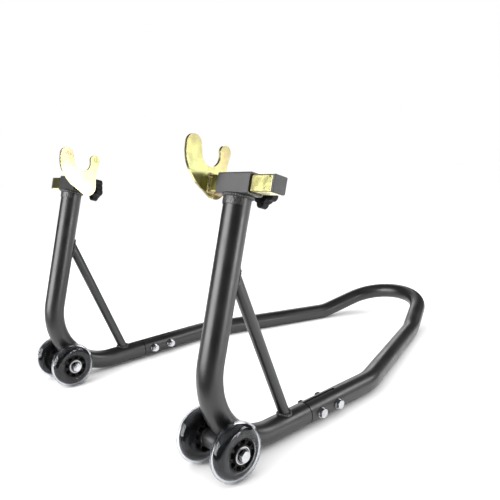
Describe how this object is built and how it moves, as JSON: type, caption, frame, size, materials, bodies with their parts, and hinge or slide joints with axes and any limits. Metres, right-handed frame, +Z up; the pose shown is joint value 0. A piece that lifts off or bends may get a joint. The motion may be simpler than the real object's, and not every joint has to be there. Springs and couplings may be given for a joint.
{
  "type": "motorcycle paddock stand",
  "caption": "Rear wheel lifting stand: two leaning legs on paired wheels, sliding hooked cradles with clamp knobs on top, and a bolted U-shaped lever handle.",
  "frame": {"origin": "centre of the part's bounding box at floor level", "axes": "+Z up, +Y from the wheels towards the handle, +X across, symmetric about X = 0"},
  "size_m": [0.555, 0.8159, 0.4093],
  "materials": {
    "black_coat": "satin black powder coat",
    "yellow_zinc": "yellow passivated zinc plate",
    "bright_zinc": "bright zinc plate",
    "black_plastic": "moulded, finely textured",
    "tyre": "smoky translucent polyurethane, polished"
  },
  "bodies": {
    "frame": {"leg_tube_left": "black_coat", "leg_tube_right": "black_coat", "brace_left": "black_coat", "brace_right": "black_coat", "brace_weld_left": "black_coat", "brace_weld_right": "black_coat", "head_tube_left": "black_coat", "head_tube_right": "black_coat", "head_pad_left": "black_coat", "head_pad_right": "black_coat", "head_weld_left": "black_coat", "head_weld_right": "black_coat", "clamp_nut_left": "black_coat", "clamp_nut_right": "black_coat", "axle_boss_left": "black_coat", "axle_boss_right": "black_coat", "axle_bolt_left": "bright_zinc", "axle_bolt_right": "bright_zinc", "axle_nut_left": "bright_zinc", "axle_nut_right": "bright_zinc", "axle_spacers_left": "bright_zinc", "axle_spacers_right": "bright_zinc", "inner_races_left": "bright_zinc", "inner_races_right": "bright_zinc", "joint_sleeve_left": "black_coat", "joint_sleeve_right": "black_coat", "joint_bolts_left": "bright_zinc", "joint_bolts_right": "bright_zinc", "joint_nuts_left": "bright_zinc", "joint_nuts_right": "bright_zinc", "joint_washers_left": "bright_zinc", "joint_washers_right": "bright_zinc", "handle_tube": "black_coat"},
    "arm_left": {"slide_arm_left": "yellow_zinc", "hook_plate_left": "yellow_zinc", "hook_weld_left": "yellow_zinc", "end_cap_left": "black_plastic"},
    "stud_left": {"clamp_stud_left": "bright_zinc"},
    "knob_left": {"knob_left": "black_plastic"},
    "wheel_left_outer": {"tyre_left_outer": "tyre", "hub_left_outer": "black_plastic", "bearings_left_outer": "bright_zinc"},
    "wheel_left_inner": {"tyre_left_inner": "tyre", "hub_left_inner": "black_plastic", "bearings_left_inner": "bright_zinc"},
    "arm_right": {"slide_arm_right": "yellow_zinc", "hook_plate_right": "yellow_zinc", "hook_weld_right": "yellow_zinc", "end_cap_right": "black_plastic"},
    "stud_right": {"clamp_stud_right": "bright_zinc"},
    "knob_right": {"knob_right": "black_plastic"},
    "wheel_right_outer": {"tyre_right_outer": "tyre", "hub_right_outer": "black_plastic", "bearings_right_outer": "bright_zinc"},
    "wheel_right_inner": {"tyre_right_inner": "tyre", "hub_right_inner": "black_plastic", "bearings_right_inner": "bright_zinc"}
  },
  "joints": [
    {"name": "arm_slide_left", "type": "slide", "parent": "frame", "child": "arm_left", "axis": [1, 0, 0], "range_m": [-0.0327, 0.0142]},
    {"name": "stud_travel_left", "type": "slide", "parent": "frame", "child": "stud_left", "axis": [0, 0.9632, -0.2689], "range_m": [0, 0.006]},
    {"name": "knob_turn_left", "type": "hinge", "parent": "stud_left", "child": "knob_left", "pos_m": [0.2133, -0.28959, 0.34063], "axis": [0, 0.9632, -0.2689], "range_deg": [0, 1729]},
    {"name": "wheel_spin_left_outer", "type": "hinge", "parent": "frame", "child": "wheel_left_outer", "pos_m": [0.2456, -0.37005, 0.038], "axis": [1, 0, 0], "continuous": true},
    {"name": "wheel_spin_left_inner", "type": "hinge", "parent": "frame", "child": "wheel_left_inner", "pos_m": [0.181, -0.37005, 0.038], "axis": [1, 0, 0], "continuous": true},
    {"name": "arm_slide_right", "type": "slide", "parent": "frame", "child": "arm_right", "axis": [-1, 0, 0], "range_m": [-0.0327, 0.0142]},
    {"name": "stud_travel_right", "type": "slide", "parent": "frame", "child": "stud_right", "axis": [0, 0.9632, -0.2689], "range_m": [0, 0.006]},
    {"name": "knob_turn_right", "type": "hinge", "parent": "stud_right", "child": "knob_right", "pos_m": [-0.2133, -0.28959, 0.34063], "axis": [0, 0.9632, -0.2689], "range_deg": [0, 1729]},
    {"name": "wheel_spin_right_outer", "type": "hinge", "parent": "frame", "child": "wheel_right_outer", "pos_m": [-0.2456, -0.37005, 0.038], "axis": [1, 0, 0], "continuous": true},
    {"name": "wheel_spin_right_inner", "type": "hinge", "parent": "frame", "child": "wheel_right_inner", "pos_m": [-0.181, -0.37005, 0.038], "axis": [1, 0, 0], "continuous": true}
  ],
  "couplings": [
    {"joint": "knob_turn_left", "follows": "stud_travel_left", "rad_per_m": 5026.5},
    {"joint": "knob_turn_right", "follows": "stud_travel_right", "rad_per_m": 5026.5}
  ]
}
